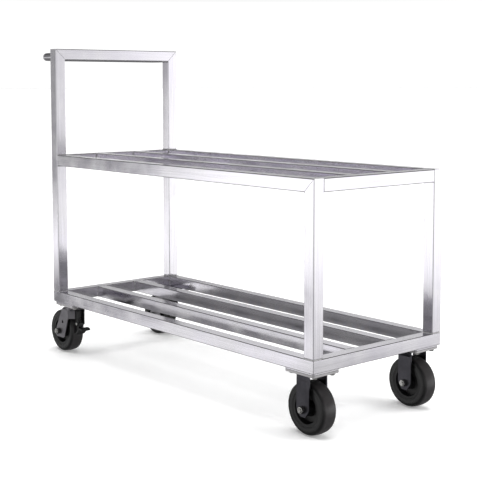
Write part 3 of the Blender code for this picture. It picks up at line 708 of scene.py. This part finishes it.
bolts = {
    "chamfer": 0.93, "axle": 0.00635, "axleHead": 0.0080, "axleNut": 0.0110, "flats": 0.0191,
    "mountFlats": 0.0127, "mountHead": 0.0050, "washer": 0.0095, "washerThick": 0.0014, "mountShank": 0.0039,
    "mountNut": 0.0062, "mountTail": 0.0036, "edge": 0.0003, "pitch": 0.0018, "thread": 0.0005,
}


def hexPiece(flats, thickness, bore, bothEnds):
    # the corners are turned off at 30 degrees, as on a real nut or bolt head
    corner = flats / math.sqrt(3)
    face = flats / 2 * bolts["chamfer"]
    drop = (corner - face) * math.tan(math.radians(30))
    outline = [(corner * math.cos(math.pi / 3 * i), corner * math.sin(math.pi / 3 * i)) for i in range(6)]
    piece = cutPlate(outline, "XY", thickness, (0, 0, thickness / 2))
    low = [(face, 0), (corner, drop)] if bothEnds else [(corner, 0)]
    profile = [(bore, 0)] + low + [(corner, thickness - drop), (face, thickness), (bore, thickness)]
    return joinSolid(piece, "INTERSECT", turnProfile(profile, (0, 0, 0), "Z", 48))


def threadLine(radius, start, end):
    # the thread is drawn as rings, coarse enough to show
    count = max(1, round(abs(end - start) / bolts["pitch"]))
    step = (end - start) / count
    line = []
    for i in range(count):
        line += [(radius - bolts["thread"], start + step * (i + 0.1)), (radius, start + step * (i + 0.5))]
    return line + [(radius - bolts["thread"], end)]


def turnStud(radius, top, threadTop, bottom):
    # a shank from top down to bottom, threaded below threadTop
    thread = threadLine(radius, threadTop, bottom)
    profile = [(0, top), (radius, top), (radius, threadTop), *thread, (0, bottom)]
    return turnProfile(profile, (0, 0, 0), "Z", 40)


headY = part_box("front_near_axle_bolt")[1].y - frontCorner["near"].y - bolts["axleHead"]
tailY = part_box("front_near_axle_bolt")[0].y - frontCorner["near"].y
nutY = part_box("front_near_axle_nut")[1].y - frontCorner["near"].y
axleBolt = hexPiece(bolts["flats"], bolts["axleHead"], 0, False)
joinSolid(axleBolt, "UNION", turnStud(bolts["axle"], bolts["axleHead"] / 2, nutY - headY, tailY - headY))
axleNut = hexPiece(bolts["flats"], bolts["axleNut"], bolts["axle"], True)
awayFromHead, towardsHead = Matrix.Rotation(-math.pi / 2, 4, "X"), Matrix.Rotation(math.pi / 2, 4, "X")
for side in sides:
    for end, corner, lead, body in (
        ("front", frontCorner[side], 0, "frame"),
        ("rear", rearCorner[side], swivelLead, "rear_" + side + "_swivel"),
    ):
        prefix = end + "_" + side
        axle = Matrix.Translation(corner + Vector((-lead, 0, axleHeight)))
        atHead = axle @ Matrix.Translation((0, headY, 0)) @ awayFromHead
        atNut = axle @ Matrix.Translation((0, nutY, 0)) @ towardsHead
        placeCopy(
            axleBolt, prefix + "_axle_hex_bolt", atHead, body, zincBright, [prefix + "_axle_bolt"]
        )
        placeCopy(
            axleNut, prefix + "_axle_hex_nut", atNut, body, zincBright, [prefix + "_axle_nut"]
        )

mountBolt = hexPiece(bolts["mountFlats"], bolts["mountHead"], 0, False)
mountBolt.data.transform(Matrix.Translation((0, 0, bolts["washerThick"])))
washer, thick = bolts["washer"], bolts["washerThick"]
washerProfile = [(0, 0), (washer, 0), (washer, thick), (0, thick)]
joinSolid(mountBolt, "UNION", turnProfile(washerProfile, (0, 0, 0), "Z", 40))
softenEdges(mountBolt, bolts["edge"])
mountNut = hexPiece(bolts["mountFlats"], bolts["mountNut"], 0, True)
nutHeight = bolts["mountNut"]
tail = turnStud(bolts["mountShank"], nutHeight / 2, nutHeight, nutHeight + bolts["mountTail"])
joinSolid(mountNut, "UNION", tail)
upsideDown = Matrix.Rotation(math.pi, 4, "X")
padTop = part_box("front_near_corner_pad")[1].z
for side in sides:
    for end, corner in (("front", frontCorner[side]), ("rear", rearCorner[side])):
        for i, (alongX, alongY) in enumerate(((-1, -1), (-1, 1), (1, -1), (1, 1)), 1):
            spot = corner + Vector((alongX * plate["boltX"], alongY * plate["boltY"], 0))
            under = Matrix.Translation(spot + Vector((0, 0, plate["underside"])))
            name = end + "_" + side + "_mounting_bolt_" + str(i)
            placeCopy(mountBolt, name, under @ upsideDown, "frame", zincBright)
            # the innermost bolt's nut shows beside the tubes
            if alongX * corner.x < 0 and alongY * corner.y < 0:
                over = Matrix.Translation(spot + Vector((0, 0, padTop)))
                placeCopy(mountNut, name + "_nut", over, "frame", zincBright)
for master in (axleBolt, axleNut, mountBolt, mountNut):
    bpy.data.objects.remove(master)
print("axles and mounting bolts made")


# Forks, bent from plate and modelled about each caster's own corner

fork = {
    "inner": 0.0310, "outer": 0.0358, "wall": 0.0048, "bend": 0.008, "insideBend": 0.0032, "edge": 0.0005,
    "legHalf": 0.025, "tipHalf": 0.010, "belowAxle": 0.0210, "axleHole": 0.00665, "blank": 0.3,
}


def bendFork(silhouette, top, holes):
    # a long folded channel, trimmed to the silhouette of its legs
    inner, outer, low = fork["inner"], fork["outer"], axleHeight - 2 * fork["belowAxle"]
    corners = [
        (-outer, low), (-outer, top), (outer, top), (outer, low),
        (inner, low), (inner, top - fork["wall"]), (-inner, top - fork["wall"]), (-inner, low),
    ]
    bend, insideBend = fork["bend"], fork["insideBend"]
    section = roundCorners(corners, [0, bend, bend, 0, 0, insideBend, insideBend, 0], 8)
    blank = cutPlate(section, "YZ", fork["blank"])
    joinSolid(blank, "INTERSECT", cutPlate(silhouette, "XZ", 4 * outer))
    for radius, x, z in holes:
        drillHole(blank, radius, (x, 0, z), 4 * outer)
    return blank


def makeFixedFork():
    legHalf, tipHalf, low = fork["legHalf"], fork["tipHalf"], axleHeight - fork["belowAxle"]
    oneSide = [(legHalf, casterTop), (legHalf, axleHeight), (tipHalf, low)]
    bends = [0, fork["belowAxle"], tipHalf / 2]
    silhouette = roundCorners(oneSide + [(-x, z) for x, z in reversed(oneSide)], bends + bends[::-1], 10)
    middle = plate["underside"] + plate["caster"] / 2
    blank = bendFork(silhouette, middle, [(fork["axleHole"], 0, axleHeight)])
    joinSolid(blank, "UNION", cutCasterPlate(plate["caster"], plate["underside"]))
    return softenEdges(blank, fork["edge"])


fixedFork = makeFixedFork()
for side in sides:
    prefix = "front_" + side
    placeCopy(
        fixedFork, prefix + "_pressed_fork", frontCorner[side], "frame", zincSteel,
        [prefix + "_fixed_fork"],
    )
bpy.data.objects.remove(fixedFork)

swivel = {
    "race": 0.040, "raceDepth": 0.0045, "raceEdge": 0.0008, "raceFlare": 0.0010, "gap": 0.0003,
    "ballOuter": 0.0348, "ballInner": 0.0292, "ballDeep": 0.00265, "drillLow": 0.1, "drillHigh": 0.2,
    "bore": 0.00665, "headBore": 0.0113, "headDeep": 0.0033, "behindAxle": 0.0255, "aheadOfAxle": 0.0390,
    "topBack": 0.0450, "chamfer": 0.0110, "hole": 0.0055, "holeForward": 0.0270, "holeRise": 0.0380,
    "skirtFlat": 0.0180, "skirtForward": 0.0180, "skirtBottom": 0.13026,
}
upperRace = plate["underside"] - swivel["raceDepth"]
lowerRace = upperRace - swivel["gap"]
webTop = lowerRace - swivel["raceDepth"]


def ballGroove(face, deep):
    inner, outer = swivel["ballInner"], swivel["ballOuter"]
    return [(inner, face), (inner, deep), (outer, deep), (outer, face)]


def makeSwivelPlate():
    blank = cutCasterPlate(plate["caster"], plate["underside"])
    race, bore, deep = swivel["race"], swivel["bore"], upperRace + swivel["ballDeep"]
    middle = casterTop - plate["caster"] / 2
    edge, flare, underside = swivel["raceEdge"], swivel["raceFlare"], plate["underside"]
    ring = [
        (bore, upperRace), *ballGroove(upperRace, deep), (race - edge, upperRace), (race, upperRace + edge),
        (race, underside - flare), (race + flare, underside), (race + flare, middle), (bore, middle),
    ]
    joinSolid(blank, "UNION", turnProfile(ring, (0, 0, 0), "Z", 72))
    head, recess = swivel["headBore"], casterTop - swivel["headDeep"]
    low, high = swivel["drillLow"], swivel["drillHigh"]
    drill = [(0, low), (bore, low), (bore, recess), (head, recess), (head, high), (0, high)]
    joinSolid(blank, "DIFFERENCE", turnProfile(drill, (0, 0, 0), "Z", 48))
    return softenEdges(blank, fork["edge"])


def makeSwivelFork():
    outer, wall, bend = fork["outer"], fork["wall"], fork["bend"]
    axleX, low = -swivelLead, axleHeight - fork["belowAxle"]
    back, chamfer = swivel["topBack"], swivel["chamfer"]
    heel, toe = axleX - swivel["behindAxle"], axleX + swivel["aheadOfAxle"]
    forward, skirtBottom = swivel["skirtForward"], swivel["skirtBottom"]
    silhouette = roundCorners(
        [
            (chamfer - back, webTop), (-back, webTop - 2 * bend), (heel, axleHeight - bend),
            (heel + chamfer, low), (toe - chamfer, low), (toe, low + bend / 2), (0, skirtBottom),
            (0, webTop - bend), (forward - wall / 2, webTop - bend), (forward - wall / 2, webTop),
        ],
        [bend / 2, bend, bend, bend, bend / 2, bend / 2, bend, 0, 0, 0],
    )
    holes = [
        (fork["axleHole"], axleX, axleHeight),
        (swivel["hole"], axleX + swivel["holeForward"], axleHeight + swivel["holeRise"]),
    ]
    blank = bendFork(silhouette, webTop, holes)
    flat, join = swivel["skirtFlat"], webTop - wall / 2
    skirt = roundCorners(
        [
            (-wall, -outer), (0, -outer), (forward, -flat), (forward, flat), (0, outer), (-wall, outer),
            (-wall, outer - wall), (forward - wall, flat - wall / 2), (forward - wall, wall / 2 - flat),
            (-wall, wall - outer),
        ],
        [0, wall, wall, wall, wall, 0, 0, wall / 2, wall / 2, 0],
    )
    joinSolid(blank, "UNION", cutPlate(skirt, "XY", join - skirtBottom, (0, 0, (join + skirtBottom) / 2)))
    race, bore, deep = swivel["race"], swivel["bore"], lowerRace - swivel["ballDeep"]
    edge = swivel["raceEdge"]
    ring = [
        (bore, lowerRace), *ballGroove(lowerRace, deep), (race - edge, lowerRace), (race, lowerRace - edge),
        (race, join), (bore, join),
    ]
    joinSolid(blank, "UNION", turnProfile(ring, (0, 0, 0), "Z", 72))
    bottom, top = swivel["drillLow"], swivel["drillHigh"]
    drill = [(0, bottom), (bore, bottom), (bore, top), (0, top)]
    joinSolid(blank, "DIFFERENCE", turnProfile(drill, (0, 0, 0), "Z", 48))
    return softenEdges(blank, fork["edge"])


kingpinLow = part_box("rear_near_kingpin")[0].z
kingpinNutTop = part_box("rear_near_kingpin_nut")[1].z
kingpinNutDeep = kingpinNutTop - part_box("rear_near_kingpin_nut")[0].z
pinRadius, pinHead, underHead = 0.00635, 0.0110, casterTop - 0.0030
kingpinProfile = [
    (0, casterTop), (pinHead, casterTop), (pinHead, underHead), (pinRadius, underHead),
    (pinRadius, kingpinNutTop), *threadLine(pinRadius, kingpinNutTop, kingpinLow), (0, kingpinLow),
]
kingpin = turnProfile(kingpinProfile, (0, 0, 0), "Z", 48)
kingpinNut = hexPiece(bolts["flats"], kingpinNutDeep, pinRadius, True)
kingpinNut.data.transform(Matrix.Translation((0, 0, kingpinNutTop - kingpinNutDeep)))
swivelPlate, swivelFork = makeSwivelPlate(), makeSwivelFork()
for side in sides:
    prefix, place = "rear_" + side, rearCorner[side]
    for master, name, body, slot, material, node in (
        (swivelPlate, "_top_plate", "frame", "caster_steel", zincSteel, "_swivel_plate"),
        (swivelFork, "_pressed_fork", prefix + "_swivel", "caster_steel", zincPale, "_swivel_fork"),
        (kingpin, "_king_pin", "frame", "fastener", zincBright, "_kingpin"),
        (kingpinNut, "_king_nut", "frame", "fastener", zincBright, "_kingpin_nut"),
    ):
        placeCopy(master, prefix + name, place, body, material, [prefix + node])
for master in (swivelPlate, swivelFork, kingpin, kingpinNut):
    bpy.data.objects.remove(master)
print("forks made")


# Brakes: a bracket on the skirt, a pedal with a ridged foot, and a headed pin

brake = {
    "wall": 0.0040, "width": 0.030, "depth": 0.0140, "pin": 0.0040, "gap": 0.0003, "cheekEnd": 0.0060,
    "boss": 0.0064, "plate": 0.0060, "shoeFromWheel": 0.0068, "treadDrop": 0.0145, "shoeDrop": 0.0396,
    "treadStart": 0.0200, "reach": 0.0330, "tip": 0.0050, "footWidth": 0.036, "edge": 0.0005,
    "groove": 0.0016, "grooveDeep": 0.0010, "grooves": 4, "pinHead": 0.0020, "pinChamfer": 0.0008,
}
pivot = middleOf("rear_near_brake_pin") - rearCorner["near"]


def bendStrip(line, thickness):
    # the outline of a bent plate seen along its bends, from its middle line
    line = [Vector(point) for point in line]
    runs = [(after - before).normalized() for before, after in zip(line, line[1:])]
    offsets = []
    for before, after in zip([runs[0], *runs], [*runs, runs[-1]]):
        out = (before + after).normalized()
        offsets.append(Vector((-out.y, out.x)) * thickness / 2 / out.dot(before))
    return [p - o for p, o in zip(line, offsets)] + [p + o for p, o in zip(line, offsets)][::-1]


def makeBracket():
    back, skirtBottom = swivel["skirtForward"] + brake["gap"], swivel["skirtBottom"]
    front, top, end, wall = back + brake["depth"], webTop - fork["bend"] / 2, brake["cheekEnd"], brake["wall"]
    cheek = roundCorners(
        [
            (back, top), (back, skirtBottom), (pivot.x - end, pivot.z + end), (pivot.x - end, pivot.z - end),
            (pivot.x + end, pivot.z - end), (front, pivot.z + end), (front, top),
        ],
        [0, 0, end / 2, end * 0.9, end * 0.9, end / 2, end / 2],
    )
    width = brake["width"]
    web = [(back, skirtBottom), (back + wall, skirtBottom), (back + wall, top), (back, top)]
    blank = cutPlate(web, "XZ", width - wall)
    for sign in (-1, 1):
        joinSolid(blank, "UNION", cutPlate(cheek, "XZ", wall, (0, sign * (width - wall) / 2, 0)))
    drillHole(blank, brake["pin"] + brake["gap"], pivot, 2 * width)
    return softenEdges(blank, brake["edge"])


def makePedal():
    boss, thick = brake["boss"], brake["plate"]
    shoe = wheel["radius"] - swivelLead + brake["shoeFromWheel"] - pivot.x
    drop, foot = brake["shoeDrop"], -brake["treadDrop"]
    lever = roundCorners(
        [
            (-boss, boss), (boss, boss), (boss, foot - thick), (shoe + thick, -drop), (shoe, -drop),
            (shoe, -boss), (-boss, -boss),
        ],
        [boss * 0.9, boss * 0.9, 0, thick / 4, thick / 4, 0, 0],
    )
    line = [
        (shoe + thick / 2, thick / 2 - drop), (brake["treadStart"], foot), (brake["reach"], foot),
        (brake["reach"] + brake["tip"], foot - brake["tip"]),
    ]
    bend, end = thick / 2, thick / 4
    treadOutline = roundCorners(bendStrip(line, thick), [end, bend, bend, end, end, bend, bend, end])
    width = brake["width"] - 2 * (brake["wall"] + 2 * brake["gap"])
    blank = cutPlate(lever, "XZ", width)
    joinSolid(blank, "UNION", cutPlate(treadOutline, "XZ", brake["footWidth"]))
    for i in range(brake["grooves"]):
        place = brake["treadStart"] + (brake["reach"] - brake["treadStart"]) * (i + 0.5) / brake["grooves"]
        deselectAll()
        bpy.ops.mesh.primitive_cube_add(size=1, location=(place, 0, foot + thick / 2))
        bpy.ops.transform.resize(value=(brake["groove"], 2 * brake["footWidth"], 2 * brake["grooveDeep"]))
        bpy.ops.object.transform_apply(location=True, rotation=True, scale=True)
        joinSolid(blank, "DIFFERENCE", bpy.context.object)
    drillHole(blank, brake["pin"] + brake["gap"], (0, 0, 0), 3 * brake["width"])
    softenEdges(blank, brake["edge"])
    blank.data.transform(Matrix.Translation(pivot))
    return blank


def makeBrakePin():
    low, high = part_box("rear_near_brake_pin")
    half, head = (high.y - low.y) / 2, (high.z - low.z) / 2
    shoulder, chamfer = half - brake["pinHead"], half - brake["pinChamfer"]
    oneEnd = [(0, half), (head * 0.75, half), (head, chamfer), (head, shoulder), (brake["pin"], shoulder)]
    return turnProfile(oneEnd + [(r, -along) for r, along in reversed(oneEnd)], tuple(pivot), "Y", 40)


bracketMaster, pedalMaster, pinMaster = makeBracket(), makePedal(), makeBrakePin()
for side in sides:
    prefix, place = "rear_" + side, rearCorner[side]
    for master, name, body, slot, material, node in (
        (bracketMaster, "_brake_channel", "_swivel", "brake", blackPowderCoat, "_brake_bracket"),
        (pedalMaster, "_brake_foot", "_brake", "brake", blackPowderCoat, "_brake_pedal"),
        (pinMaster, "_brake_rivet", "_swivel", "fastener", zincBright, "_brake_pin"),
    ):
        placeCopy(master, prefix + name, place, prefix + body, material, [prefix + node])
for master in (bracketMaster, pedalMaster, pinMaster):
    bpy.data.objects.remove(master)
print("brakes made")


# Weld beads: one run of overlapping puddles, copied to every seam

weld = {
    "pitch": 0.0029, "along": 0.0025, "size": 0.0032, "tilt": 24, "trim": 0.0014, "fine": 0.0026,
    "lowCrown": 0.4, "sunk": 0.0024, "filled": 0.0042, "filledCrown": 0.57, "footTrim": 0.0022,
    "ringBeads": 16, "legSink": 0.0012, "plateSink": 0.0006,
}


def layPuddles(count):
    deselectAll()
    bpy.ops.mesh.primitive_uv_sphere_add(segments=12, ring_count=7, radius=1)
    editAll()
    bpy.ops.transform.resize(value=(weld["along"] / weld["size"], 1, 1))
    bpy.ops.transform.rotate(value=math.radians(weld["tilt"]), orient_axis="Y", center_override=(0, 0, 0))
    for i in range(count - 1):
        bpy.ops.mesh.duplicate_move(TRANSFORM_OT_translate={"value": (weld["pitch"] / weld["size"], 0, 0)})
    bpy.ops.object.mode_set(mode="OBJECT")
    return bpy.context.object


puddleRuns = {}


def layBead(start, end, out, size=weld["size"], height=1.0, trim=weld["trim"]):
    # a run from start to end, its crown facing out, stopping just short at both ends
    start, end = Vector(start), Vector(end)
    along = (end - start).normalized()
    start, end = start + along * trim, end - along * trim
    out = Vector(out).normalized()
    count = max(2, round((end - start).length / weld["pitch"]))
    if count not in puddleRuns:
        puddleRuns[count] = layPuddles(count)
    run = puddleRuns[count].copy()
    run.data = puddleRuns[count].data.copy()
    bpy.context.scene.collection.objects.link(run)
    stretch = (end - start).length / (count * weld["pitch"])
    turn = Matrix((along * stretch * weld["size"], out.cross(along) * size, out * size * height)).transposed()
    first = start + along * weld["pitch"] * stretch / 2
    run.data.transform(Matrix.Translation(first) @ turn.to_4x4())
    return run


def joinBeads(runs, name, material=weldBright):
    deselectAll()
    for run in runs:
        run.select_set(True)
    bpy.context.view_layer.objects.active = runs[0]
    bpy.ops.object.join()
    finishPiece(runs[0], name, "frame", material, angle=60)


frameFront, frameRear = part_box("bottom_end_rail_front")[1].x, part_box("bottom_end_rail_rear")[0].x
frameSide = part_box("bottom_side_rail_far")[1].y
deckTop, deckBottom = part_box("bottom_side_rail_far")[1].z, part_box("bottom_side_rail_far")[0].z
shelfTop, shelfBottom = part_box("shelf_side_rail_far")[1].z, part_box("shelf_side_rail_far")[0].z
handleTop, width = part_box("handle_top_rail")[1].z, tube["width"]
# where bars end, and the way from there to the middle
ends = [(frameFront - width, -1), (frameRear + width, 1)]
insideY = frameSide - width


def barBeads(bars, top, bottom):
    runs = []
    for bar in bars:
        low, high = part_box(bar)
        for x, inward in ends:
            runs.append(layBead((x, low.y, bottom), (x, low.y, top), (inward, -1, 0)))
            runs.append(layBead((x, high.y, bottom), (x, high.y, top), (inward, 1, 0)))
            runs.append(layBead((x, low.y, bottom), (x, high.y, bottom), (0, 0, -1), height=weld["lowCrown"]))
    return runs


def footBeads(x, inward):
    # round the foot of both uprights at one end; the outer beads fill the ground-back edge
    runs = []
    outerX, sunk, size = x - inward * width, weld["sunk"], weld["size"]
    filled, crown = weld["filled"], weld["filledCrown"]
    for sign in (-1, 1):
        outerY, innerY = sign * frameSide, sign * insideY
        sunkX, sunkY = outerX + inward * sunk, outerY - sign * sunk
        edges = [
            ((outerX, sunkY), (x, sunkY), (0, sign, 0), filled, crown),
            ((sunkX, outerY), (sunkX, innerY), (-inward, 0, 0), filled, crown),
            ((x, outerY), (x, innerY), (inward, 0, 1), size, 1),
            ((outerX, innerY), (x, innerY), (0, -sign, 1), size, 1),
        ]
        for start, end, out, across, height in edges:
            start, end = (*start, deckTop), (*end, deckTop)
            runs.append(layBead(start, end, out, across, height, weld["trim"] + weld["footTrim"]))
    return runs


deckRuns = barBeads(["bottom_deck_bar_1", "bottom_deck_bar_2"], deckTop, deckBottom)
shelfRuns = barBeads(["shelf_bar_1", "shelf_bar_2"], shelfTop, shelfBottom)
handleRuns = []
for x, inward in ends:
    deckRuns += footBeads(x, inward)
for sign in (-1, 1):
    y = sign * insideY
    for x, inward in ends:
        deckRuns.append(layBead((x, y, deckBottom), (x, y, deckTop), (inward, -sign, 0)))
        shelfRuns.append(layBead((x, y, shelfBottom), (x, y, shelfTop), (inward, -sign, 0)))
        outer = x - inward * width
        end = (x, y, shelfBottom)
        shelfRuns.append(layBead((outer, y, shelfBottom), end, (0, 0, -1), height=weld["lowCrown"]))
        shelfRuns.append(layBead(end, (x, sign * frameSide, shelfBottom), (inward, 0, -1)))
    rear = frameRear + width
    shelfRuns.append(layBead((rear, y, shelfTop), (rear, sign * frameSide, shelfTop), (1, 0, 1)))
    shelfRuns.append(layBead((frameRear, y, shelfTop), (rear, y, shelfTop), (0, -sign, 1)))
    under = handleTop - width
    handleRuns.append(layBead((frameRear, y, under), (rear, y, under), (0, -sign, -1)))
    # a ring of puddles where the push handle meets the upright
    centre = Vector((frameRear, sign * (frameSide - width / 2), middleOf("push_handle").z))
    for i in range(weld["ringBeads"]):
        points = []
        for step in (i, i + 1):
            angle = 2 * math.pi * step / weld["ringBeads"]
            points.append(centre + Vector((0, math.cos(angle), math.sin(angle))) * handle["radius"])
        outward = ((points[0] + points[1]) / 2 - centre).normalized() + Vector((-1, 0, 0))
        handleRuns.append(layBead(points[0], points[1], outward, weld["fine"], trim=0))
joinBeads(deckRuns, "deckWelds")
joinBeads(shelfRuns, "shelfWelds")
joinBeads(handleRuns, "handleWelds")

steelRuns = []
for side in sides:
    for sign in (-1, 1):
        y, z = sign * (fork["outer"] - weld["legSink"]), plate["underside"] - weld["plateSink"]
        middle = frontCorner[side] + Vector((0, y, z))
        reach = Vector((fork["legHalf"], 0, 0))
        steelRuns.append(layBead(middle - reach, middle + reach, (0, sign, -1), weld["fine"]))
joinBeads(steelRuns, "forkWelds", zincSteel)
for run in puddleRuns.values():
    bpy.data.objects.remove(run)
print("welds made")
